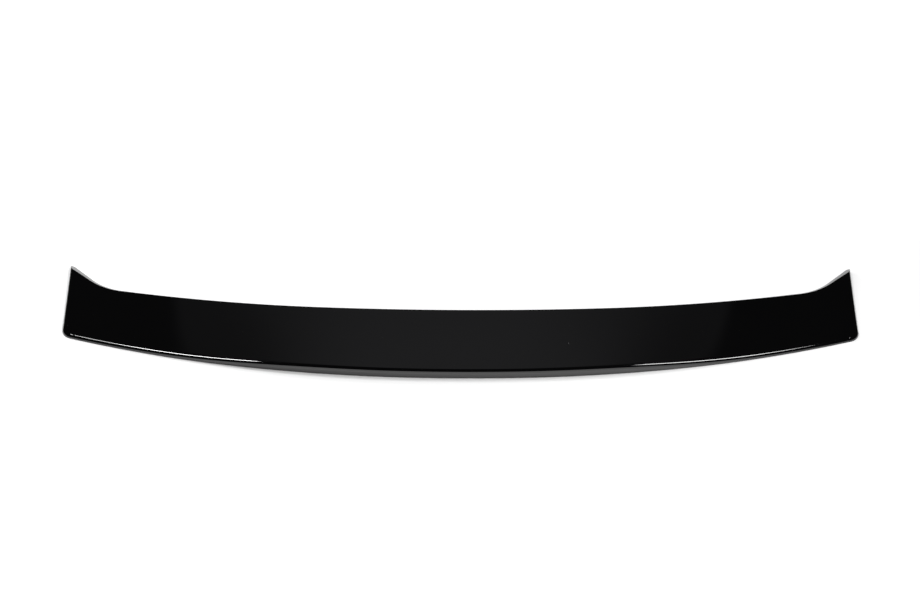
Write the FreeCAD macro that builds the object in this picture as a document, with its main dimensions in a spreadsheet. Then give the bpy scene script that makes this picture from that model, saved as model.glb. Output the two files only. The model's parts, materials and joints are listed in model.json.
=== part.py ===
import FreeCAD, Part
import math
import os
import Sketcher

# Rear roof-edge spoiler: one bowed, moulded blade that lies on its underside.
# X runs along the blade, the trailing lip faces -Y, +Z is up and the floor is z = 0.
# The origin is midway along the length, midway between lip and ear tips, on the floor.

SIZES = {
    "length": 1150,           # over both ends
    "overall_depth": 237.9,   # trailing lip to ear tips
    "blade_depth": 146,       # trailing lip to leading edge, on the centre line
    "lip_radius": 2640,       # bow of the trailing lip in plan, middle part
    "lip_end_radius": 1746,   # tighter bow of the lip towards both ends
    "lip_joint": 91,          # where that tighter bow starts, from the centre line
    "lead_radius": 4213,      # bow of the leading edge in plan, middle part
    "lead_end_radius": 2134,  # tighter bow of the leading edge towards both ears
    "lead_joint": 210,        # where that tighter bow starts, from the centre line
    "corner_radius": 18,      # trailing corners in plan
    "ear_bend": 83.8,         # hollow curve from leading edge into ear
    "ear_angle": 45.5,        # straight edge of the ear, degrees from the blade's length
    "tip_radius": 4,          # point of the ear in plan
    "tip_break": 0.3,         # how far that rounding runs out past the end
    "lip_height": 17.3,       # top face at the lip on the centre line, above the floor
    "lip_end_height": 4.8,    # height that the lip tapers to towards both ends
    "taper_half": 328,        # where half of that taper is done, from the centre line
    "lip_band": 1,            # upright band between the nose and the return face
    "return_lean": 12,        # undercut of the return face, degrees from upright
    "lead_height": 3.2,       # top face at the leading edge, on the centre line
    "ear_height": 7.7,        # top face at the ears
    "toe_height": 2.6,        # upright edge left under the leading bevel
    "bevel_angle": 33,        # slope of the leading bevel, degrees from level
    "face_radius": 2500,      # hollow of the top face, front to back
    "nose_radius": 4.5,       # rounding over the lip, corners and ends
    "skin": 3,                # thickness under the top face
    "lip_wall": 3.5,          # thickness behind the return face
    "end_wall": 8,            # thickness of the closed ends
    "land_width": 28,         # flat bonding strip behind the leading edge
}

EAR_SWEEP = 8                 # power of the upward sweep towards the ears
LIP_TAPER = 6                 # power of the fall of the lip towards the ends
RIGHT_STATIONS = (0.18, 0.34, 0.45, 0.56, 0.68, 0.8, 0.88, 0.94, 1)
STATIONS = (*(-share for share in reversed(RIGHT_STATIONS)), 0, *RIGHT_STATIONS)
BEND_SHARE = 0.9              # the ear bend is at most this share of the largest radius that fits
OVERRUN = 20                  # how far a cutting shape reaches past the blade

os.makedirs("parts", exist_ok=True)
doc = FreeCAD.newDocument("spoiler")

sheet = doc.addObject("Spreadsheet::Sheet", "sizes")
for row, (name, size) in enumerate(SIZES.items(), start=1):
    sheet.set(f"A{row}", name)
    sheet.set(f"B{row}", str(size))
    sheet.setAlias(f"B{row}", name)
doc.recompute()

body = doc.addObject("PartDesign::Body", "spoiler_blade")
body.Label = "spoiler_blade"

# Plan positions that several features share.
LIP_Y = "(-sizes.overall_depth / 2)"
LEAD_Y = "(-sizes.overall_depth / 2 + sizes.blade_depth)"
TIP_X = "(sizes.length / 2 - sizes.tip_radius + sizes.tip_break)"
TIP_Y = "(sizes.overall_depth / 2 - sizes.tip_radius)"


def value(expression):
    """The number that an expression on the sheet gives."""
    return float(sheet.evalExpression(expression))


def sketch_on(role, name, offset="0"):
    """A sketch on one of the body's own planes, moved along that plane's normal."""
    sketch = body.newObject("Sketcher::SketchObject", name)
    support = next(plane for plane in body.Origin.OriginFeatures if plane.Role == role)
    sketch.AttachmentSupport = [(support, "")]
    sketch.MapMode = "FlatFace"
    sketch.setExpression("AttachmentOffset.Base.z", offset)
    return sketch


def bind(sketch, kind, *places, size):
    """A dimension that follows an expression on the sheet."""
    start = math.radians(value(size)) if kind == "Angle" else value(size)
    index = sketch.addConstraint(Sketcher.Constraint(kind, *places, start))
    sketch.setExpression(f"Constraints[{index}]", size)


def fix_point(sketch, edge, end, across, up):
    """One end of an edge at a place measured from the sketch's origin."""
    bind(sketch, "DistanceX", -1, 1, edge, end, size=across)
    bind(sketch, "DistanceY", -1, 1, edge, end, size=up)


def arc(centre, radius, start, end):
    circle = Part.Circle(FreeCAD.Vector(*centre, 0), FreeCAD.Vector(0, 0, 1), radius)
    return Part.ArcOfCircle(circle, start, end)


def line(start, end):
    return Part.LineSegment(FreeCAD.Vector(*start, 0), FreeCAD.Vector(*end, 0))


def end_bow(name):
    """Centre of a tighter end bow: across from the centre line, and beyond the front of the edge."""
    step = f"(sizes.{name}_radius - sizes.{name}_end_radius)"
    turn = f"(sizes.{name}_joint / sizes.{name}_radius)"
    return f"({step} * {turn})", f"(sizes.{name}_radius - {step} * sqrt(1 - {turn} ^ 2))"


def bowed_edge(sketch, front, name, half_angle):
    """A bowed edge across the blade, as a middle arc and a tighter arc to each side, by side."""
    radius, end_radius = f"sizes.{name}_radius", f"sizes.{name}_end_radius"
    across, beyond = end_bow(name)
    joint_angle = math.asin(value(f"sizes.{name}_joint / {radius}"))
    centre = f"{front} + {radius}"
    middle = sketch.addGeometry(
        arc((0, value(centre)), value(radius), -math.pi / 2 - joint_angle, -math.pi / 2 + joint_angle)
    )
    sketch.addConstraint(Sketcher.Constraint("PointOnObject", middle, 3, -2))
    bind(sketch, "Radius", middle, size=radius)
    bind(sketch, "DistanceY", -1, 1, middle, 3, size=centre)
    edges = {0: middle}
    for side in (1, -1):
        first, last = (1, 2) if side > 0 else (2, 1)
        span = (-math.pi / 2 + joint_angle, -math.pi / 2 + half_angle)
        if side < 0:
            span = (-math.pi - span[1], -math.pi - span[0])
        end_centre = (side * value(across), value(f"{front} + {beyond}"))
        edges[side] = sketch.addGeometry(arc(end_centre, value(end_radius), *span))
        sketch.addConstraint(Sketcher.Constraint("Tangent", middle, last, edges[side], first))
        bind(sketch, "Radius", edges[side], size=end_radius)
        bind(sketch, "DistanceX", -1, 1, middle, last, size=f"{side} * sizes.{name}_joint")
    return edges


def ear_bend():
    """Radius of the ear bend, which stays within the length of the ear's straight edge."""
    across, beyond = end_bow("lead")
    from_x = f"({TIP_X} - sizes.tip_radius * sin(sizes.ear_angle) - {across})"
    from_y = f"({TIP_Y} + sizes.tip_radius * cos(sizes.ear_angle) - {LEAD_Y} - {beyond})"
    outward = f"({from_y} * cos(sizes.ear_angle) - {from_x} * sin(sizes.ear_angle))"
    spare = f"(sizes.lead_end_radius ^ 2 - {from_x} ^ 2 - {from_y} ^ 2)"
    room = f"{spare} / (2 * (sizes.lead_end_radius + {outward}))"
    return f"min(sizes.ear_bend; {BEND_SHARE} * {room})"


def ear_places():
    """Where the right ear's bend and straight edge lie in plan."""
    angle = math.radians(value("sizes.ear_angle"))
    bend = value(ear_bend())
    lead_radius = value("sizes.lead_end_radius")
    tip = FreeCAD.Vector(value(TIP_X), value(TIP_Y), 0)
    along = FreeCAD.Vector(math.cos(angle), math.sin(angle), 0)
    outward = FreeCAD.Vector(-math.sin(angle), math.cos(angle), 0)
    line_end = tip + outward * value("sizes.tip_radius")
    across, beyond = end_bow("lead")
    lead_centre = FreeCAD.Vector(value(across), value(f"{LEAD_Y} + {beyond}"), 0)
    reach = line_end + outward * bend - lead_centre
    slope = reach.dot(along)
    step = slope**2 - reach.dot(reach) + (lead_radius - bend) ** 2
    bend_centre = lead_centre + reach - along * (slope + math.sqrt(step))
    meet = bend_centre - lead_centre
    return {
        "line_end": line_end,
        "line_start": bend_centre - outward * bend,
        "bend_centre": bend_centre,
        "meet_angle": math.atan2(meet.y, meet.x),
        "line_angle": angle - math.pi / 2,
    }


def leading_edge(sketch):
    """Leading edge, ear bends and straight ear edges; gives the edges in order from right to left."""
    ear = ear_places()
    lead = bowed_edge(sketch, LEAD_Y, "lead", ear["meet_angle"] + math.pi / 2)
    sides = {}
    for side in (1, -1):
        angles = (ear["meet_angle"], ear["line_angle"])
        if side < 0:
            angles = (-math.pi - angles[1], -math.pi - angles[0])
        centre = ear["bend_centre"]
        bend = sketch.addGeometry(arc((side * centre.x, centre.y), value(ear_bend()), *angles))
        start = (side * ear["line_start"].x, ear["line_start"].y)
        end = (side * ear["line_end"].x, ear["line_end"].y)
        edge = sketch.addGeometry(line(start, end))
        first, last = (1, 2) if side > 0 else (2, 1)
        sketch.addConstraint(Sketcher.Constraint("Tangent", lead[side], last, bend, first))
        sketch.addConstraint(Sketcher.Constraint("Tangent", bend, last, edge, 1))
        bind(sketch, "Radius", bend, size=ear_bend())
        bind(sketch, "Angle", edge, size="sizes.ear_angle" if side > 0 else "180 - sizes.ear_angle")
        sides[side] = (edge, bend, lead[side])
    return [*sides[1], lead[0], *reversed(sides[-1])]


def tip_arc(sketch, side):
    """The rounded point of one ear."""
    span = (0, math.pi / 2 + math.radians(value("sizes.ear_angle")))
    if side < 0:
        span = (math.pi - span[1], math.pi)
    tip = sketch.addGeometry(arc((side * value(TIP_X), value(TIP_Y)), value("sizes.tip_radius"), *span))
    bind(sketch, "Radius", tip, size="sizes.tip_radius")
    fix_point(sketch, tip, 3, f"{side} * {TIP_X}", TIP_Y)
    return tip


def section_across(name, x, y, angle):
    """A sketch across the end of a path, turned square to it."""
    sketch = sketch_on("YZ_Plane", name)
    turn = FreeCAD.Rotation(FreeCAD.Vector(0, 1, 0), value(angle))
    sketch.AttachmentOffset = FreeCAD.Placement(FreeCAD.Vector(), turn)
    sketch.setExpression("AttachmentOffset.Base.x", y)
    sketch.setExpression("AttachmentOffset.Base.z", x)
    sketch.setExpression("AttachmentOffset.Rotation.Angle", angle)
    return sketch


def close_outline(sketch, places):
    """A closed outline of straight edges through places measured from the sketch's origin."""
    corners = [(value(across), value(up)) for across, up in places]
    edges = [sketch.addGeometry(line(a, b)) for a, b in zip(corners, corners[1:] + corners[:1])]
    for one, two in zip(edges, edges[1:] + edges[:1]):
        sketch.addConstraint(Sketcher.Constraint("Coincident", one, 2, two, 1))
    for edge, place in zip(edges, places):
        fix_point(sketch, edge, 1, *place)


# Blank: the lip, the trailing corners and straight ends, left long on the far side.
outline = sketch_on("XY_Plane", "Outline")
corner_x = value("sizes.length / 2 - sizes.corner_radius")
corner_reach = value("sizes.lip_end_radius - sizes.corner_radius")
lip_across, lip_beyond = end_bow("lip")
corner_angle = math.asin((corner_x - value(lip_across)) / corner_reach)
corner_y = value(f"{LIP_Y} + {lip_beyond}") - corner_reach * math.cos(corner_angle)
lip = bowed_edge(outline, LIP_Y, "lip", corner_angle)
far_x = value("sizes.length / 2")
far_y = value(f"sizes.overall_depth / 2 + {OVERRUN}")
back = outline.addGeometry(line((-far_x, far_y), (far_x, far_y)))
for side in (1, -1):
    first, last = (1, 2) if side > 0 else (2, 1)
    end = outline.addGeometry(line((side * far_x, far_y), (side * far_x, corner_y)))
    span = (-math.pi / 2 + corner_angle, 0)
    if side < 0:
        span = (-math.pi, -math.pi / 2 - corner_angle)
    corner = outline.addGeometry(arc((side * corner_x, corner_y), value("sizes.corner_radius"), *span))
    outline.addConstraint(Sketcher.Constraint("Coincident", back, last, end, 1))
    outline.addConstraint(Sketcher.Constraint("Vertical", end))
    outline.addConstraint(Sketcher.Constraint("Tangent", end, 2, corner, last))
    outline.addConstraint(Sketcher.Constraint("Tangent", corner, first, lip[side], last))
    bind(outline, "Radius", corner, size="sizes.corner_radius")
    fix_point(outline, end, 1, f"{side} * sizes.length / 2", f"sizes.overall_depth / 2 + {OVERRUN}")

blank = body.newObject("PartDesign::Pad", "Blank")
blank.Profile = outline
blank.setExpression("Length", f"sizes.lip_height + {OVERRUN}")
doc.recompute()


def bow_line(front, name, x):
    """Depth of a bowed edge at a place along the blade."""
    across, beyond = end_bow(name)
    middle = f"sizes.{name}_radius - sqrt(sizes.{name}_radius ^ 2 - {x} ^ 2)"
    tight = f"{beyond} - sqrt(sizes.{name}_end_radius ^ 2 - (abs({x}) - {across}) ^ 2)"
    return f"({front} + (abs({x}) < sizes.{name}_joint ? {middle} : {tight}))"


def lip_line(x):
    return bow_line(LIP_Y, "lip", x)


def lead_line(x):
    return bow_line(LEAD_Y, "lead", x)


def lip_height(x):
    """Height of the top face along the lip, which tapers towards the ends."""
    taper = f"(1 + abs({x} / sizes.taper_half) ^ {LIP_TAPER})"
    return f"(sizes.lip_end_height + (sizes.lip_height - sizes.lip_end_height) / {taper})"


def return_height(x):
    """Top of the return face, below the nose and the upright band."""
    return f"({lip_height(x)} - sizes.nose_radius - sizes.lip_band)"


def face_height(x, y):
    """Height of the hollow top face, which sweeps up towards the ears."""
    inset = f"({y} - {lip_line(x)})"
    depth = f"({lead_line(x)} - {lip_line(x)})"
    sweep = f"abs(2 * {x} / sizes.length) ^ {EAR_SWEEP}"
    front = f"(sizes.lead_height + (sizes.ear_height - sizes.lead_height) * {sweep})"
    fall = f"({lip_height(x)} - {front}) * {inset} / {depth}"
    hollow = f"{inset} * ({depth} - {inset}) / (2 * sizes.face_radius)"
    return f"{lip_height(x)} - {fall} - {hollow}"


def section(name, x, near, far, drop, level, near_level):
    """A closed section across the blade, between a level and the top face or that face lowered by drop."""
    sketch = sketch_on("YZ_Plane", name, x)
    heights = [f"{face_height(x, y)} - {drop}" for y in (near, far)]
    ends = [(value(y), value(z)) for y, z in zip((near, far), heights)]
    radius = value("sizes.face_radius")
    chord = FreeCAD.Vector(ends[1][0] - ends[0][0], ends[1][1] - ends[0][1], 0)
    half = chord.Length / 2
    rise = math.sqrt(radius**2 - half**2) / chord.Length
    middle = ((ends[0][0] + ends[1][0]) / 2, (ends[0][1] + ends[1][1]) / 2)
    centre = (middle[0] - chord.y * rise, middle[1] + chord.x * rise)
    angles = [math.atan2(z - centre[1], y - centre[0]) for y, z in ends]
    face = sketch.addGeometry(arc(centre, radius, *angles))
    corners = [ends[1], (ends[1][0], value(level)), (value(near_level), value(level)), ends[0]]
    sides = [sketch.addGeometry(line(a, b)) for a, b in zip(corners, corners[1:])]
    for (one, end), (two, start) in (
        ((face, 2), (sides[0], 1)),
        ((sides[0], 2), (sides[1], 1)),
        ((sides[1], 2), (sides[2], 1)),
        ((sides[2], 2), (face, 1)),
    ):
        sketch.addConstraint(Sketcher.Constraint("Coincident", one, end, two, start))
    sketch.addConstraint(Sketcher.Constraint("Vertical", sides[0]))
    sketch.addConstraint(Sketcher.Constraint("Horizontal", sides[1]))
    bind(sketch, "Radius", face, size="sizes.face_radius")
    fix_point(sketch, face, 1, near, heights[0])
    fix_point(sketch, face, 2, far, heights[1])
    fix_point(sketch, sides[1], 2, near_level, level)
    return sketch


# The top face, cut by a loft through sections along the blade.
near_side = f"({LIP_Y} - {OVERRUN})"
far_side = f"(sizes.overall_depth / 2 + {OVERRUN})"
sky = f"sizes.lip_height + 3 * {OVERRUN}"
face_sections = []
for index, share in enumerate(STATIONS):
    place = f"({share} * (sizes.length / 2 + {OVERRUN}))"
    face_sections.append(section(f"Face{index}", place, near_side, far_side, "0", sky, near_side))
top_face = body.newObject("PartDesign::SubtractiveLoft", "TopFace")
top_face.Profile = face_sections[0]
top_face.Sections = face_sections[1:]
doc.recompute()

# Rounded nose over the lip, the trailing corners and both ends, where the top face meets an upright wall.
shape = top_face.Shape
rim = []
for index, edge in enumerate(shape.Edges, start=1):
    middle = edge.valueAt((edge.FirstParameter + edge.LastParameter) / 2)
    normals = []
    for face in shape.ancestorsOfType(edge, Part.Face):
        normals.append(face.normalAt(*face.Surface.parameter(middle)))
    heights = sorted(abs(normal.z) for normal in normals)
    if heights[0] < 0.01 and heights[1] > 0.9 and middle.z > 1 and middle.y < far_y - 1:
        rim.append(f"Edge{index}")
nose = body.newObject("PartDesign::Fillet", "Nose")
nose.Base = (top_face, rim)
nose.setExpression("Radius", "sizes.nose_radius")
doc.recompute()

# Return face below the lip: an undercut that follows the lip's bow and runs out where the lip is thin.
return_sections = []
for index, share in enumerate(STATIONS):
    place = f"({share} * (sizes.length / 2 + {OVERRUN}))"
    undercut = sketch_on("YZ_Plane", f"Return{index}", place)
    drop = f"({return_height(place)} + {OVERRUN})"
    outside = f"({lip_line(place)} - {OVERRUN} * tan(sizes.return_lean))"
    close_outline(
        undercut,
        [
            (outside, f"{return_height(place)} + {OVERRUN}"),
            (outside, f"-1 * {OVERRUN}"),
            (f"{lip_line(place)} + {drop} * tan(sizes.return_lean)", f"-1 * {OVERRUN}"),
        ],
    )
    return_sections.append(undercut)
return_face = body.newObject("PartDesign::SubtractiveLoft", "ReturnFace")
return_face.Profile = return_sections[0]
return_face.Sections = return_sections[1:]
doc.recompute()

# Leading edge and ears, cut through the blank.
lead_sketch = sketch_on("XY_Plane", "LeadOutline")
lead_edges = leading_edge(lead_sketch)
out_x = f"(sizes.length / 2 + {OVERRUN})"
out_y = f"(sizes.overall_depth / 2 + 2 * {OVERRUN})"
back = lead_sketch.addGeometry(line((-value(out_x), value(out_y)), (value(out_x), value(out_y))))
for side in (1, -1):
    first, last = (1, 2) if side > 0 else (2, 1)
    tip = tip_arc(lead_sketch, side)
    start = (side * value(f"{TIP_X} + sizes.tip_radius"), value(TIP_Y))
    step = (side * value(out_x), value(TIP_Y))
    shoulder = lead_sketch.addGeometry(line(start, step))
    rise = lead_sketch.addGeometry(line(step, (step[0], value(out_y))))
    ear_edge = lead_edges[0 if side > 0 else -1]
    lead_sketch.addConstraint(Sketcher.Constraint("Tangent", ear_edge, 2, tip, last))
    lead_sketch.addConstraint(Sketcher.Constraint("Coincident", tip, first, shoulder, 1))
    lead_sketch.addConstraint(Sketcher.Constraint("Coincident", shoulder, 2, rise, 1))
    lead_sketch.addConstraint(Sketcher.Constraint("Coincident", rise, 2, back, last))
    lead_sketch.addConstraint(Sketcher.Constraint("Horizontal", shoulder))
    lead_sketch.addConstraint(Sketcher.Constraint("Vertical", rise))
    bind(lead_sketch, "DistanceY", -1, 1, shoulder, 1, size=TIP_Y)
    fix_point(lead_sketch, rise, 2, f"{side} * {out_x}", out_y)
lead_cut = body.newObject("PartDesign::Pocket", "LeadCut")
lead_cut.Profile = lead_sketch
lead_cut.Midplane = True
lead_cut.setExpression("Length", f"2 * sizes.lip_height + 4 * {OVERRUN}")
doc.recompute()

# The leading bevel follows the leading edge and both ears.
path = sketch_on("XY_Plane", "BevelPath")
path_edges = leading_edge(path)
path_end = f"({TIP_X} + {OVERRUN})"
for side in (1, -1):
    ear_edge = path_edges[0 if side > 0 else -1]
    tip = tip_arc(path, side)
    path.setConstruction(tip, True)
    path.addConstraint(Sketcher.Constraint("Tangent", ear_edge, tip))
    bind(path, "DistanceX", -1, 1, ear_edge, 2, size=f"{side} * {path_end}")

path_rise = f"({TIP_Y} + sizes.tip_radius / cos(sizes.ear_angle) + {OVERRUN} * tan(sizes.ear_angle))"
bevel = section_across("BevelSection", path_end, path_rise, "sizes.ear_angle")
outer = "2"
inner = f"(-2 * {OVERRUN})"
high = f"sizes.toe_height - {inner} * tan(sizes.bevel_angle)"
close_outline(
    bevel,
    [(outer, f"sizes.toe_height - {outer} * tan(sizes.bevel_angle)"), (outer, high), (inner, high)],
)
lead_bevel = body.newObject("PartDesign::SubtractivePipe", "LeadBevel")
lead_bevel.Profile = bevel
lead_bevel.Spine = (path, [f"Edge{edge + 1}" for edge in path_edges])
doc.recompute()


# Hollow underside: walls behind the lip and at the ends, and a solid land behind the leading edge.
hollow_sections = []
for index, share in enumerate(STATIONS):
    place = f"({share} * (sizes.length / 2 - sizes.end_wall))"
    near = f"({lip_line(place)} + sizes.lip_wall)"
    far = f"({lead_line(place)} - sizes.land_width)"
    near_low = f"({near} + ({return_height(place)} + {OVERRUN}) * tan(sizes.return_lean))"
    ceiling = section(f"Hollow{index}", place, near, far, "sizes.skin", f"-{OVERRUN}", near_low)
    hollow_sections.append(ceiling)
hollow = body.newObject("PartDesign::SubtractiveLoft", "Hollow")
hollow.Profile = hollow_sections[0]
hollow.Sections = hollow_sections[1:]
doc.recompute()

for item in doc.Objects:
    if not item.isValid():
        raise RuntimeError(f"{item.Name} failed: {item.State}")
if body.Shape.isNull() or not body.Shape.isValid():
    raise RuntimeError("the blade is not a sound solid")
body.Placement = FreeCAD.Placement()
body.Shape.exportStep("parts/spoiler_blade.step")
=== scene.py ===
import json
import math

import bmesh
import bpy
from bpy.props import FloatProperty, FloatVectorProperty, IntProperty, PointerProperty
from mathutils import Euler, Matrix, Vector

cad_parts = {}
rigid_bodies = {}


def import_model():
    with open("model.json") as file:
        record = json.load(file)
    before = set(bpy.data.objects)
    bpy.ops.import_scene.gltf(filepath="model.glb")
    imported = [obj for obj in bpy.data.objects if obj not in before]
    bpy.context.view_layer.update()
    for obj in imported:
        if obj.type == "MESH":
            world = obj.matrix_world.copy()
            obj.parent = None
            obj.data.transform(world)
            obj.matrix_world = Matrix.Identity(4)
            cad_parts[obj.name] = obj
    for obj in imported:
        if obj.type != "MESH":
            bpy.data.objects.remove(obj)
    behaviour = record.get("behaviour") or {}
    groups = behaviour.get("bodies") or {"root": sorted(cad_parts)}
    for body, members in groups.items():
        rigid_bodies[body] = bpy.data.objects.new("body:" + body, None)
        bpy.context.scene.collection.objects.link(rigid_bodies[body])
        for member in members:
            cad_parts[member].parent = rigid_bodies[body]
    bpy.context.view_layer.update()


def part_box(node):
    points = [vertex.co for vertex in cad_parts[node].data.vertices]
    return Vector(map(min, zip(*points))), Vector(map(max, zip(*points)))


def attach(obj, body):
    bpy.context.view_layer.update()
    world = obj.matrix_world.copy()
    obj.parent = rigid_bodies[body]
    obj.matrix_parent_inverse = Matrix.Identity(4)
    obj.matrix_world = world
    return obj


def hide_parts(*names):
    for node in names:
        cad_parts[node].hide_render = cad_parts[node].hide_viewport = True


for start_object in list(bpy.data.objects):
    bpy.data.objects.remove(start_object, do_unlink=True)
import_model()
BLADE_LOW, BLADE_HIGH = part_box("spoiler_blade")

LAND_ROWS = 6           # mesh rows across the bonding strip and the ear behind it
RIM_START = 1.04        # where the even rows of the top face start, in nose radii from the rim
CREST_SEARCH = 0.06     # how far behind the leading edge its bevel can reach
CREST_STEPS = 40        # halvings in the search for the top of that bevel
LEAST_BAND = 0.1        # lowest end of the band, as a share of the rim's height
MOST_BAND = 0.94        # highest end of the band, as a share of the rim's height
LEAST_FOOT = 0.0005     # least thickness at the foot of the lip wall
SHARP_ANGLE = 24        # degrees between faces from which an edge stays sharp
FLOOR_SIZE = 60         # metres each way
CARD_SIZE = (2.4, 2.2)
CARD_MIDDLE = (0, 2.5, 1.6)
SENSOR_WIDTH = 36       # millimetres
POOL_LENGTH = 0.62      # half length of the floor that glows least, along the blade
POOL_DEPTH = 0.17       # half depth of that floor, across the blade
POOL_EDGE = (1.0, 3.0)  # where the glow starts and stops rising, in those half sizes
CARD_SHIFT = 0.004      # how far left the brightest line of the card lies
CARD_SPREAD = 0.26      # how fast the bright part of the card narrows with height
CARD_WAIST = 1.96       # height at which that part has its own width
CARD_FALL = 0.75        # share of its brightness that the card loses towards its sides
CARD_SIDE = (-0.05, 0.63)
CARD_RIM = (0.69, 0.73)
CARD_BASE = 0.325       # brightness of the card at floor level
CARD_CLIMB = 0.45       # how much brighter it gets with each metre of height

bl_info = {
    "name": "Roof-edge spoiler blade",
    "version": (1, 0, 0),
    "blender": (4, 5, 0),
    "location": "View3D > Sidebar > Spoiler",
    "description": "A gloss-black bowed spoiler blade on a white studio floor",
    "category": "Object",
}


def length_prop(label, about, default):
    """A length in metres."""
    return FloatProperty(name=label, description=about, default=default, unit="LENGTH", precision=5)


def angle_prop(label, about, degrees):
    """An angle that the sidebar shows in degrees."""
    return FloatProperty(name=label, description=about, default=math.radians(degrees), unit="ROTATION")


def share_prop(label, about, default):
    """A share from none to all."""
    return FloatProperty(name=label, description=about, default=default, min=0, max=1, subtype="FACTOR")


def colour_prop(label, about, default):
    return FloatVectorProperty(name=label, description=about, default=default, min=0, max=1, subtype="COLOR")


def power_prop(label, about, watts):
    return FloatProperty(name=label, description=about, default=watts, min=0, unit="POWER")


class SpoilerBladeSizes(bpy.types.PropertyGroup):
    """Sizes of the moulded blade."""

    length: length_prop("Length", "Over both ends", BLADE_HIGH.x - BLADE_LOW.x)
    overall_depth: length_prop("Overall depth", "Trailing lip to ear tips", BLADE_HIGH.y - BLADE_LOW.y)
    blade_depth: length_prop("Blade depth", "Lip to leading edge on the centre line", 0.146)
    lip_radius: length_prop("Lip bow", "Bow of the trailing lip in plan, middle part", 2.64)
    lip_end_radius: length_prop("Lip end bow", "Tighter bow of the lip towards both ends", 1.746)
    lip_joint: length_prop("Lip joint", "Where that tighter bow starts, from the centre line", 0.091)
    lead_radius: length_prop("Leading bow", "Bow of the leading edge in plan, middle part", 4.213)
    lead_end_radius: length_prop("Leading end bow", "Tighter bow towards both ears", 2.134)
    lead_joint: length_prop("Leading joint", "Where that tighter bow starts, from the centre line", 0.21)
    corner_radius: length_prop("Corner radius", "Trailing corners in plan", 0.018)
    ear_bend: length_prop("Ear bend", "Hollow curve from leading edge into ear", 0.0838)
    ear_angle: angle_prop("Ear angle", "Straight edge of the ear against the blade's length", 45.5)
    tip_radius: length_prop("Tip radius", "Point of the ear in plan", 0.004)
    tip_break: length_prop("Tip break", "How far the tip rounding runs out past the end", 0.0003)
    lip_height: length_prop("Lip height", "Top face at the lip on the centre line", 0.0173)
    lip_end_height: length_prop("Lip end height", "Height that the lip tapers to", 0.0048)
    taper_half: length_prop("Taper half", "Where half of that taper is done", 0.328)
    lip_taper: FloatProperty(name="Lip taper", description="Power of the fall towards the ends", default=6)
    lead_height: length_prop("Leading height", "Top face at the leading edge", 0.0032)
    ear_height: length_prop("Ear height", "Top face at the ears", 0.0077)
    ear_sweep: FloatProperty(name="Ear sweep", description="Power of the upward sweep to the ears", default=8)
    toe_height: length_prop("Toe height", "Upright edge under the leading bevel", 0.0026)
    bevel_angle: angle_prop("Leading bevel", "Slope of the leading bevel", 33)
    face_radius: length_prop("Face hollow", "Hollow of the top face, front to back", 2.5)
    nose_radius: length_prop("Nose radius", "Rounding over the lip, corners and ends", 0.0045)
    lip_band: length_prop("Lip band", "Upright band between the nose and the return face", 0.001)
    return_lean: angle_prop("Return lean", "Undercut of the return face", 12)
    skin: length_prop("Skin", "Thickness under the top face", 0.003)
    lip_wall: length_prop("Lip wall", "Thickness behind the return face", 0.0035)
    end_wall: length_prop("End wall", "Thickness of the closed ends", 0.008)
    land_width: length_prop("Land width", "Bonding strip behind the leading edge", 0.028)
    body_columns: IntProperty(name="Body columns", description="Mesh columns along half the body", default=64)
    ear_columns: IntProperty(name="Ear columns", description="Mesh columns along an ear", default=28)
    corner_columns: IntProperty(name="Corner columns", description="Mesh columns round a corner", default=18)
    face_rows: IntProperty(name="Face rows", description="Mesh rows across the top face", default=28)
    nose_rows: IntProperty(name="Nose rows", description="Mesh rows round the nose", default=10)


class SpoilerFinish(bpy.types.PropertyGroup):
    """Look of the gloss-black plastic."""

    black: colour_prop("Black", "Colour under the gloss", (0.001, 0.001, 0.0011))
    dust: colour_prop("Dust", "Colour of the few specks of dust", (0.16, 0.16, 0.165))
    coat: share_prop("Clear coat", "Strength of the clear coat over the black", 0.7)
    gloss: share_prop("Gloss roughness", "Blur of the reflections", 0.04)
    haze: share_prop("Haze", "How much that blur varies over the face", 0.02)


class SpoilerStudio(bpy.types.PropertyGroup):
    """Floor, lamps and camera."""

    floor: colour_prop("Floor", "Colour of the studio floor", (0.93, 0.93, 0.93))
    near_lift: share_prop("Near lift", "Glow of the floor beside the blade", 0.02)
    far_lift: share_prop("Far lift", "Glow that brings the outer floor up to white", 0.36)
    room: colour_prop("Room", "Unlit room above the floor", (0.0105, 0.0105, 0.0105))
    card: colour_prop("Card", "Dim card that the middle of the face mirrors", (0.105, 0.105, 0.109))
    left_power: power_prop("Left softbox", "Lamp that the left half of the lip mirrors", 16)
    strip_power: power_prop("Left strip", "Lamp that the left end of the lip mirrors", 4)
    right_power: power_prop("Right softbox", "Lamp that the right half of the lip mirrors", 18)
    rear_power: power_prop("Rear lamp", "Low lamp behind the left end", 8)
    fill_power: power_prop("Fill lamp", "Lamp in front", 17)
    target: FloatVectorProperty(
        name="Target",
        description="Point that the camera is set out from",
        default=(-0.001412, -0.00448, 0),
        unit="LENGTH",
    )
    elevation: angle_prop("Camera elevation", "How steeply the camera looks down", 42)
    heading: angle_prop("Camera heading", "Turn of the camera about the upright axis", -0.473)
    tilt_up: angle_prop("Camera tilt", "How far the camera aims above the target", 0.353)
    roll: angle_prop("Camera roll", "Turn of the camera about its own axis", 0.555)
    distance: length_prop("Camera distance", "From the target to the camera", 4.504)
    lens: FloatProperty(name="Lens", description="Focal length", default=121.725, unit="CAMERA")


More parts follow.
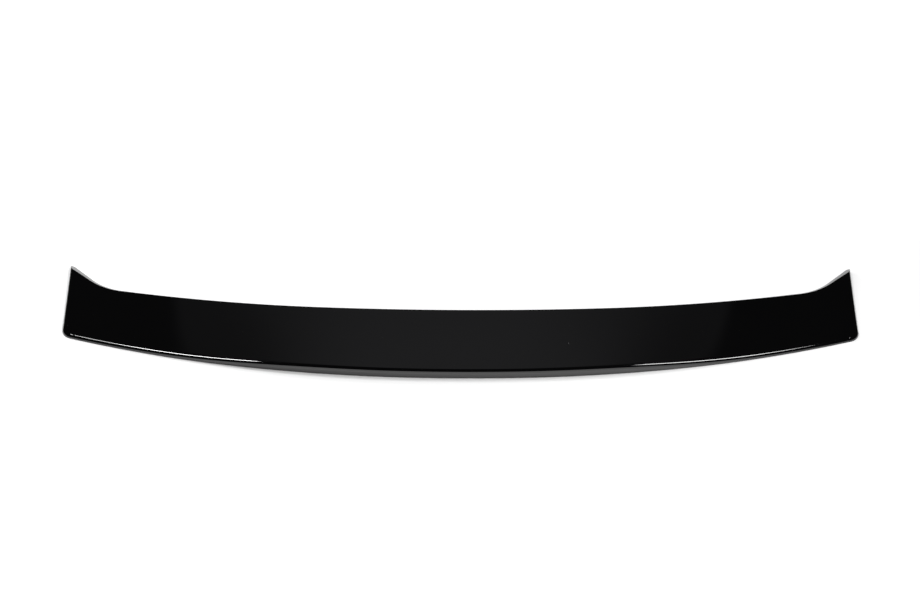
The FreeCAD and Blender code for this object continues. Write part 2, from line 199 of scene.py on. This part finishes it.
class Bow:
    """An edge bowed in plan: a middle arc and a tighter arc to each side."""

    def __init__(self, front, radius, end_radius, joint):
        self.front = front
        self.radius = radius
        self.end_radius = end_radius
        self.joint = joint
        self.turn = math.asin(joint / radius)
        self.centre = Vector((0, front + radius))
        step = radius - end_radius
        self.end_centre = self.centre + step * Vector((math.sin(self.turn), -math.cos(self.turn)))

    def line(self, x):
        """Depth of the edge at a place along the blade."""
        if abs(x) < self.joint:
            return self.centre.y - math.sqrt(self.radius**2 - x * x)
        return self.end_centre.y - math.sqrt(self.end_radius**2 - (abs(x) - self.end_centre.x) ** 2)

    def outside(self, x, y):
        """How far a plan point on the right half lies outside the edge's arcs."""
        spoke = Vector((abs(x), y)) - self.end_centre
        if spoke.x < -spoke.y * math.tan(self.turn):
            return (Vector((abs(x), y)) - self.centre).length - self.radius
        return spoke.length - self.end_radius


class BladeForm:
    """Plan outlines and heights of the blade, worked out from its sizes."""

    def __init__(self, sizes):
        s = self.sizes = sizes
        self.half = s.length / 2
        self.lip = Bow(-s.overall_depth / 2, s.lip_radius, s.lip_end_radius, s.lip_joint)
        self.lead = Bow(self.lip.front + s.blade_depth, s.lead_radius, s.lead_end_radius, s.lead_joint)
        reach = s.lip_end_radius - s.corner_radius
        corner_x = self.half - s.corner_radius
        turn = math.asin((corner_x - self.lip.end_centre.x) / reach)
        self.corner = Vector((corner_x, self.lip.end_centre.y - reach * math.cos(turn)))
        self.corner_start = self.lip.end_centre.x + s.lip_end_radius * math.sin(turn)
        self.set_ear()

    def set_ear(self):
        """Centres and joints of the right ear's edge."""
        s = self.sizes
        self.along = Vector((math.cos(s.ear_angle), math.sin(s.ear_angle)))
        self.outward = Vector((-self.along.y, self.along.x))
        self.tip = Vector((self.half - s.tip_radius + s.tip_break, s.overall_depth / 2 - s.tip_radius))
        self.line_end = self.tip + self.outward * s.tip_radius
        reach = self.line_end + self.outward * s.ear_bend - self.lead.end_centre
        slope = reach.dot(self.along)
        step = slope**2 - reach.dot(reach) + (s.lead_end_radius - s.ear_bend) ** 2
        self.bend_centre = self.lead.end_centre + reach - self.along * (slope + math.sqrt(step))
        self.line_start = self.bend_centre - self.outward * s.ear_bend
        self.bend_way = (self.bend_centre - self.lead.end_centre).normalized()
        self.bend_start = self.lead.end_centre.x + self.bend_way.x * s.lead_end_radius

    def near_edge(self, x):
        """Lip or trailing corner, in plan."""
        x = abs(x)
        if x <= self.corner_start:
            return self.lip.line(x)
        inset = x - self.corner.x
        return self.corner.y - math.sqrt(max(self.sizes.corner_radius**2 - inset**2, 0))

    def far_edge(self, x):
        """Leading edge, ear bend, ear edge or ear tip, in plan."""
        x = abs(x)
        if x <= self.bend_start:
            return self.lead.line(x)
        if x <= self.line_start.x:
            return self.bend_centre.y - math.sqrt(self.sizes.ear_bend**2 - (x - self.bend_centre.x) ** 2)
        if x <= self.line_end.x:
            return self.line_start.y + (x - self.line_start.x) * self.along.y / self.along.x
        return self.tip.y + math.sqrt(max(self.sizes.tip_radius**2 - (x - self.tip.x) ** 2, 0))

    def from_lead(self, x, y):
        """Distance of a plan point behind the leading edge, with the ear's edge taken straight on."""
        point = Vector((abs(x), y))
        if (point - self.line_start).dot(self.along) > 0:
            return (self.line_start - point).dot(self.outward)
        spoke = point - self.bend_centre
        if spoke.x * self.bend_way.y > spoke.y * self.bend_way.x:
            return self.lead.outside(x, y)
        return spoke.length - self.sizes.ear_bend

    def from_rim(self, x, y):
        """Distance of a plan point inside the lip, the trailing corner and the end."""
        point = Vector((abs(x), y))
        if point.x > self.corner.x and y < self.corner.y:
            return self.sizes.corner_radius - (point - self.corner).length
        return min(self.half - point.x, -self.lip.outside(x, y))

    def lip_height(self, x):
        """Top face along the lip, which tapers towards the ends."""
        s = self.sizes
        fall = 1 + abs(x / s.taper_half) ** s.lip_taper
        return s.lip_end_height + (s.lip_height - s.lip_end_height) / fall

    def return_height(self, x):
        """Top of the return face, below the nose and the upright band."""
        return max(self.lip_height(x) - self.sizes.nose_radius - self.sizes.lip_band, 0.0)

    def face_height(self, x, y):
        """Hollow top face that sweeps up towards the ears."""
        s = self.sizes
        inset = y - self.lip.line(x)
        depth = self.lead.line(x) - self.lip.line(x)
        front = s.lead_height + (s.ear_height - s.lead_height) * abs(x / self.half) ** s.ear_sweep
        lip = self.lip_height(x)
        fall = (lip - front) * inset / depth
        return lip - fall - inset * (depth - inset) / (2 * s.face_radius)

    def skin_height(self, x, y):
        """Top face with its rounded rim."""
        radius = self.sizes.nose_radius
        left = radius - min(max(self.from_rim(x, y), 0), radius)
        return self.face_height(x, y) - radius + math.sqrt(radius**2 - left**2)

    def bevel_height(self, x, y):
        return self.sizes.toe_height + self.from_lead(x, y) * math.tan(self.sizes.bevel_angle)

    def crest(self, x):
        """Plan place where the leading bevel meets the top face."""
        far = self.far_edge(x)
        if self.bevel_height(x, far) > self.skin_height(x, far):
            return far
        near = far - CREST_SEARCH
        for _ in range(CREST_STEPS):
            middle = (near + far) / 2
            if self.bevel_height(x, middle) > self.skin_height(x, middle):
                near = middle
            else:
                far = middle
        return near

    def return_foot(self, x):
        """Plan place of the foot of the return face."""
        lean = self.return_height(x) * math.tan(self.sizes.return_lean)
        return max(self.near_edge(x), self.lip.line(x) + lean)

    def wall_foot(self, x):
        """Plan place of the foot of the wall behind the return face."""
        s = self.sizes
        top = self.lip.line(x) + s.lip_wall
        ceiling = self.face_height(x, top) - s.skin
        return top + (self.return_height(x) + ceiling) / 2 * math.tan(s.return_lean)


class BladeGrid:
    """Where the columns and rows of the blade's mesh lie."""

    def __init__(self, form):
        s = form.sizes
        self.form = form
        body = [form.bend_start * i / s.body_columns for i in range(s.body_columns)]
        reach = form.corner.x - form.bend_start
        ear = [form.bend_start + reach * i / s.ear_columns for i in range(s.ear_columns)]
        turn = math.pi / 2 / s.corner_columns
        corner = [form.corner.x + s.corner_radius * math.sin(turn * i) for i in range(s.corner_columns + 1)]
        right = sorted(body + ear + corner + [form.half - s.end_wall])
        self.xs = [-x for x in reversed(right[1:])] + right
        self.end_column = right.index(form.half - s.end_wall)
        self.last_column = len(right) - 1
        self.last_row = s.nose_rows + s.face_rows + 1
        self.wall_row = s.nose_rows
        self.land_row = self.last_row - LAND_ROWS

    def top(self, column, row):
        """Top skin, from the rim at the lip to the leading edge."""
        form = self.form
        s = form.sizes
        x = self.xs[column]
        near = form.near_edge(x)
        crest = form.crest(x)
        if row == self.last_row:
            y = form.far_edge(x)
            return Vector((x, y, min(form.bevel_height(x, y), form.skin_height(x, y))))
        start = near + s.nose_radius * RIM_START
        if row < s.nose_rows:
            y = near + (start - near) * (1 - math.cos(math.pi / 2 * row / s.nose_rows))
        else:
            y = start + (crest - start) * (row - s.nose_rows) / s.face_rows
        return Vector((x, y, form.skin_height(x, y)))

    def band(self, column, row):
        """Lower end of the upright band below the nose."""
        place = self.top(column, row)
        height = min(self.form.return_height(place.x), place.z * MOST_BAND)
        return Vector((place.x, place.y, max(height, place.z * LEAST_BAND)))

    def floor(self, column, row):
        """Underside, as if it were solid."""
        form = self.form
        s = form.sizes
        x = self.xs[column]
        near = form.return_foot(x)
        wall = max(form.wall_foot(x), near + LEAST_FOOT)
        land = form.lead.line(x) - s.land_width
        far = form.far_edge(x)
        if row <= self.wall_row:
            y = near + (wall - near) * row / self.wall_row
        elif row <= self.land_row:
            y = wall + (land - wall) * (row - self.wall_row) / (self.land_row - self.wall_row)
        else:
            y = land + (far - land) * (row - self.land_row) / (self.last_row - self.land_row)
        return Vector((x, y, 0.0))

    def roof(self, column, row):
        """Ceiling of the hollow."""
        form = self.form
        s = form.sizes
        x = self.xs[column]
        wall = form.lip.line(x) + s.lip_wall
        land = form.lead.line(x) - s.land_width
        y = wall + (land - wall) * (row - self.wall_row) / (self.land_row - self.wall_row)
        return Vector((x, y, form.face_height(x, y) - s.skin))

    def is_hollow(self, column, row):
        return abs(column - self.last_column) <= self.end_column and self.wall_row <= row <= self.land_row


def new_caps(bm, faces):
    """Extrudes a region and gives its new faces and points."""
    made = bmesh.ops.extrude_face_region(bm, geom=faces)["geom"]
    caps = [item for item in made if isinstance(item, bmesh.types.BMFace)]
    return caps, [item for item in made if isinstance(item, bmesh.types.BMVert)]


def build_blade(sizes):
    """The whole moulding: top skin with its rounded rim, walls and hollow underside."""
    grid = BladeGrid(BladeForm(sizes))
    columns = len(grid.xs) - 1
    bm = bmesh.new()
    bmesh.ops.create_grid(bm, x_segments=columns, y_segments=grid.last_row, size=1)
    column_layer = bm.verts.layers.int.new("column")
    row_layer = bm.verts.layers.int.new("row")
    for vert in bm.verts:
        vert[column_layer] = round((vert.co.x + 1) / 2 * columns)
        vert[row_layer] = round((vert.co.y + 1) / 2 * grid.last_row)
    skin = list(bm.verts)
    caps, band = new_caps(bm, list(bm.faces))
    for points, way in ((skin, grid.top), (band, grid.band)):
        for vert in points:
            vert.co = way(vert[column_layer], vert[row_layer])
    caps, low = new_caps(bm, caps)
    for vert in low:
        vert.co = grid.floor(vert[column_layer], vert[row_layer])
    inner = []
    for face in caps:
        if all(grid.is_hollow(vert[column_layer], vert[row_layer]) for vert in face.verts):
            inner.append(face)
    for vert in new_caps(bm, inner)[1]:
        vert.co = grid.roof(vert[column_layer], vert[row_layer])
    bmesh.ops.remove_doubles(bm, verts=bm.verts, dist=1e-6)
    bmesh.ops.dissolve_degenerate(bm, dist=1e-7, edges=bm.edges)
    bmesh.ops.recalc_face_normals(bm, faces=bm.faces)
    return bm


class Shade:
    """A socket in a node tree; sums on it add nodes to that tree."""

    def __init__(self, tree, socket):
        self.tree = tree
        self.socket = socket

    @staticmethod
    def node(tree, kind, settings=None, values=None):
        """A new node with its settings and its socket values or links."""
        made = tree.nodes.new(kind)
        for name, setting in (settings or {}).items():
            setattr(made, name, setting)
        for name, given in (values or {}).items():
            if isinstance(given, Shade):
                tree.links.new(given.socket, made.inputs[name])
            else:
                made.inputs[name].default_value = given
        return made

    def maths(self, operation, first, second=0.0):
        made = Shade.node(self.tree, "ShaderNodeMath", {"operation": operation}, {0: first, 1: second})
        return Shade(self.tree, made.outputs[0])

    def __add__(self, other):
        return self.maths("ADD", self, other)

    def __radd__(self, other):
        return self.maths("ADD", other, self)

    def __sub__(self, other):
        return self.maths("SUBTRACT", self, other)

    def __rsub__(self, other):
        return self.maths("SUBTRACT", other, self)

    def __mul__(self, other):
        return self.maths("MULTIPLY", self, other)

    def __rmul__(self, other):
        return self.maths("MULTIPLY", other, self)

    def __truediv__(self, other):
        return self.maths("DIVIDE", self, other)

    def __rtruediv__(self, other):
        return self.maths("DIVIDE", other, self)

    def below(self, limit):
        return self.maths("LESS_THAN", self, limit)

    def smooth(self, start, end):
        """Climbs from 0 to 1 between two values."""
        settings = {"interpolation_type": "SMOOTHSTEP"}
        values = {"Value": self, "From Min": start, "From Max": end}
        return Shade(self.tree, Shade.node(self.tree, "ShaderNodeMapRange", settings, values).outputs[0])

    def mix(self, first, second):
        """From one colour to another as this goes from 0 to 1."""
        values = {0: self, 6: first, 7: second}
        made = Shade.node(self.tree, "ShaderNodeMix", {"data_type": "RGBA"}, values)
        return Shade(self.tree, made.outputs[2])


def new_tree(holder):
    """An empty node tree of a material or a world."""
    holder.use_nodes = True
    holder.node_tree.nodes.clear()
    return holder.node_tree


def finish_tree(tree, kind, shader):
    output = Shade.node(tree, kind)
    tree.links.new(shader, output.inputs["Surface"])


def output_of(tree, kind, name, settings=None, values=None):
    """One output of a new node."""
    return Shade(tree, Shade.node(tree, kind, settings, values).outputs[name])


def rgba(colour):
    return (*colour, 1.0)


def gloss_black(finish):
    """Polished black plastic with a faint ripple, a little haze and a few specks of dust."""
    material = bpy.data.materials.new("gloss_black")
    tree = new_tree(material)
    place = output_of(tree, "ShaderNodeTexCoord", "Object")
    cloud = output_of(tree, "ShaderNodeTexNoise", 0, None, {"Vector": place, "Scale": 7.0, "Detail": 3.0})
    ripple = output_of(tree, "ShaderNodeTexNoise", 0, None, {"Vector": place, "Scale": 160.0, "Detail": 1.0})
    cells = Shade.node(tree, "ShaderNodeTexVoronoi", None, {"Vector": place, "Scale": 26.0})
    apart = Shade(tree, cells.outputs["Distance"])
    pick = output_of(tree, "ShaderNodeSeparateColor", 0, None, {"Color": Shade(tree, cells.outputs["Color"])})
    speck = (1.0 - apart.smooth(0.008, 0.016)) * pick.below(0.035)
    tone = cloud.mix(rgba(finish.black), rgba([1.5 * part for part in finish.black]))
    colour = speck.mix(tone, rgba(finish.dust))
    rough = finish.gloss + (cloud - 0.5) * finish.haze + speck * 0.5
    wave = {"Strength": 0.06, "Distance": 0.00005, "Height": ripple}
    bump = output_of(tree, "ShaderNodeBump", 0, None, wave)
    values = {
        "Base Color": colour,
        "Roughness": rough,
        "Normal": bump,
        "IOR": 1.5,
        "Coat Weight": finish.coat,
        "Coat Roughness": finish.gloss,
    }
    shader = Shade.node(tree, "ShaderNodeBsdfPrincipled", None, values)
    finish_tree(tree, "ShaderNodeOutputMaterial", shader.outputs[0])
    return material


def floor_white(studio):
    """Matt white floor that glows a little to the camera and to mirrors, least beside the blade."""
    material = bpy.data.materials.new("floor_white")
    tree = new_tree(material)
    path = Shade.node(tree, "ShaderNodeLightPath")
    straight = Shade(tree, path.outputs["Is Camera Ray"])
    mirrored = Shade(tree, path.outputs["Is Glossy Ray"])
    through = Shade(tree, path.outputs["Is Transmission Ray"])
    seen = straight + mirrored + through
    place = output_of(tree, "ShaderNodeTexCoord", "Object")
    split = Shade.node(tree, "ShaderNodeSeparateXYZ", None, {"Vector": place})
    along = Shade(tree, split.outputs["X"]) / POOL_LENGTH
    across = Shade(tree, split.outputs["Y"]) / POOL_DEPTH
    away = along.maths("SQRT", along * along + across * across)
    lift = away.smooth(*POOL_EDGE).mix(rgba([studio.near_lift] * 3), rgba([studio.far_lift] * 3))
    values = {
        "Base Color": rgba(studio.floor),
        "Roughness": 1.0,
        "Specular IOR Level": 0.0,
        "Emission Color": seen.mix((0, 0, 0, 1), lift),
        "Emission Strength": 1.0,
    }
    shader = Shade.node(tree, "ShaderNodeBsdfPrincipled", None, values)
    finish_tree(tree, "ShaderNodeOutputMaterial", shader.outputs[0])
    return material


def dim_card(studio):
    """Softly fading card, only there to be mirrored."""
    material = bpy.data.materials.new("dim_card")
    tree = new_tree(material)
    place = output_of(tree, "ShaderNodeTexCoord", "Object")
    split = Shade.node(tree, "ShaderNodeSeparateXYZ", None, {"Vector": place})
    across = Shade(tree, split.outputs["X"])
    height = Shade(tree, split.outputs["Z"])
    aside = across.maths("ABSOLUTE", across + CARD_SHIFT) + CARD_SPREAD * (height - CARD_WAIST)
    fade = (1.0 - CARD_FALL * aside.smooth(*CARD_SIDE)) * (1.0 - aside.smooth(*CARD_RIM))
    fade = fade * (CARD_CLIMB * height + CARD_BASE)
    colour = fade.mix(rgba(studio.room), rgba(studio.card))
    shader = Shade.node(tree, "ShaderNodeEmission", None, {"Color": colour, "Strength": 1.0})
    finish_tree(tree, "ShaderNodeOutputMaterial", shader.outputs[0])
    return material


def add_mesh(name, bm, material):
    """A new object at the origin from a finished bmesh."""
    mesh = bpy.data.meshes.new(name)
    bm.to_mesh(mesh)
    bm.free()
    mesh.materials.append(material)
    made = bpy.data.objects.new(name, mesh)
    bpy.context.scene.collection.objects.link(made)
    return made


def add_plane(name, width, depth, middle, material, upright=False):
    """A flat sheet, lying or standing across the view."""
    bm = bmesh.new()
    bmesh.ops.create_grid(bm, x_segments=1, y_segments=1, size=0.5)
    bmesh.ops.scale(bm, verts=bm.verts, vec=(width, depth, 1))
    if upright:
        turn = Euler((math.pi / 2, 0, 0)).to_matrix()
        bmesh.ops.rotate(bm, verts=bm.verts, cent=(0, 0, 0), matrix=turn)
    bmesh.ops.translate(bm, verts=bm.verts, vec=middle)
    return add_mesh(name, bm, material)


class SPOILER_OT_build_blade(bpy.types.Operator):
    """Build the moulded blade in gloss black"""

    bl_idname = "spoiler.build_blade"
    bl_label = "Build blade"

    def execute(self, context):
        bm = build_blade(context.scene.spoiler_blade)
        blade = add_mesh("gloss_blade", bm, gloss_black(context.scene.spoiler_finish))
        blade.data.shade_smooth()
        blade.data.set_sharp_from_angle(angle=math.radians(SHARP_ANGLE))
        for name in ("column", "row"):
            blade.data.attributes.remove(blade.data.attributes[name])
        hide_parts("spoiler_blade")
        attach(blade, "root")
        return {"FINISHED"}


class SPOILER_OT_build_stage(bpy.types.Operator):
    """Build the floor, the lamps, the room and the camera"""

    bl_idname = "spoiler.build_stage"
    bl_label = "Build stage"

    def execute(self, context):
        studio = context.scene.spoiler_studio
        floor = add_plane("studio_floor", FLOOR_SIZE, FLOOR_SIZE, (0, 0, 0), floor_white(studio))
        card = add_plane("studio_card", *CARD_SIZE, CARD_MIDDLE, dim_card(studio), upright=True)
        card.visible_camera = False
        card.visible_diffuse = False
        card.visible_shadow = False
        self.add_lamps(studio)
        world = bpy.data.worlds.new("room")
        tree = new_tree(world)
        shade = Shade.node(tree, "ShaderNodeBackground", None, {"Color": rgba(studio.room), "Strength": 1.0})
        finish_tree(tree, "ShaderNodeOutputWorld", shade.outputs[0])
        context.scene.world = world
        self.add_camera(context.scene, studio)
        context.scene.view_settings.view_transform = "Standard"
        return {"FINISHED"}

    def add_lamps(self, studio):
        """Softboxes that the lip mirrors, and two lamps that it doesn't."""
        self.add_lamp("left_softbox", studio.left_power, place=(-0.91, 0.7, 2.2), size=(0.24, 0.5))
        self.add_lamp("left_strip", studio.strip_power, place=(-1.12, 0.7, 2.2), size=(0.17, 0.5))
        self.add_lamp("right_softbox", studio.right_power, place=(0.98, 0, 2.2), size=(0.44, 0.75))
        rear_aim = (-0.45, -0.05, 0)
        rear = self.add_lamp("rear_lamp", studio.rear_power, (-0.95, 0.75, 0.8), (0.6, 0.6), rear_aim)
        fill_aim = (0.1, -0.15, 0)
        fill = self.add_lamp("fill_lamp", studio.fill_power, (0.45, -0.8, 1.4), (1.0, 0.8), fill_aim)
        for lamp in (rear, fill):
            lamp.visible_glossy = False

    @staticmethod
    def add_lamp(name, power, place, size, aim=None):
        """A rectangular lamp that shines straight down or at a point."""
        lamp = bpy.data.lights.new(name, "AREA")
        lamp.shape = "RECTANGLE"
        lamp.size, lamp.size_y = size
        lamp.energy = power
        holder = bpy.data.objects.new(name, lamp)
        holder.location = place
        if aim:
            holder.rotation_euler = (Vector(aim) - Vector(place)).to_track_quat("-Z", "Y").to_euler()
        bpy.context.scene.collection.objects.link(holder)
        return holder

    @staticmethod
    def add_camera(scene, studio):
        camera = bpy.data.cameras.new("camera")
        camera.lens = studio.lens
        camera.sensor_width = SENSOR_WIDTH
        holder = bpy.data.objects.new("camera", camera)
        level = math.cos(studio.elevation)
        aside = math.sin(studio.heading) * level
        behind = -math.cos(studio.heading) * level
        back = Vector((aside, behind, math.sin(studio.elevation)))
        holder.location = Vector(studio.target) + back * studio.distance
        aim = Euler((math.pi / 2 - studio.elevation + studio.tilt_up, 0, studio.heading)).to_matrix()
        holder.rotation_euler = (aim @ Matrix.Rotation(studio.roll, 3, "Z")).to_euler()
        scene.collection.objects.link(holder)
        scene.camera = holder


class SPOILER_PT_sidebar(bpy.types.Panel):
    """Sizes, finish and studio of the spoiler blade"""

    bl_idname = "SPOILER_PT_sidebar"
    bl_label = "Spoiler blade"
    bl_space_type = "VIEW_3D"
    bl_region_type = "UI"
    bl_category = "Spoiler"

    def draw(self, context):
        for name in ("spoiler_blade", "spoiler_finish", "spoiler_studio"):
            group = getattr(context.scene, name)
            column = self.layout.column(align=True)
            for key in group.bl_rna.properties.keys():
                if key not in ("rna_type", "name"):
                    column.prop(group, key)
        self.layout.operator(SPOILER_OT_build_blade.bl_idname)
        self.layout.operator(SPOILER_OT_build_stage.bl_idname)


CLASSES = (
    SpoilerBladeSizes,
    SpoilerFinish,
    SpoilerStudio,
    SPOILER_OT_build_blade,
    SPOILER_OT_build_stage,
    SPOILER_PT_sidebar,
)


def register():
    for item in CLASSES:
        bpy.utils.register_class(item)
    bpy.types.Scene.spoiler_blade = PointerProperty(type=SpoilerBladeSizes)
    bpy.types.Scene.spoiler_finish = PointerProperty(type=SpoilerFinish)
    bpy.types.Scene.spoiler_studio = PointerProperty(type=SpoilerStudio)


def unregister():
    del bpy.types.Scene.spoiler_studio
    del bpy.types.Scene.spoiler_finish
    del bpy.types.Scene.spoiler_blade
    for item in reversed(CLASSES):
        bpy.utils.unregister_class(item)


def main():
    register()
    bpy.ops.spoiler.build_blade()
    bpy.ops.spoiler.build_stage()


if __name__ == "__main__":
    main()
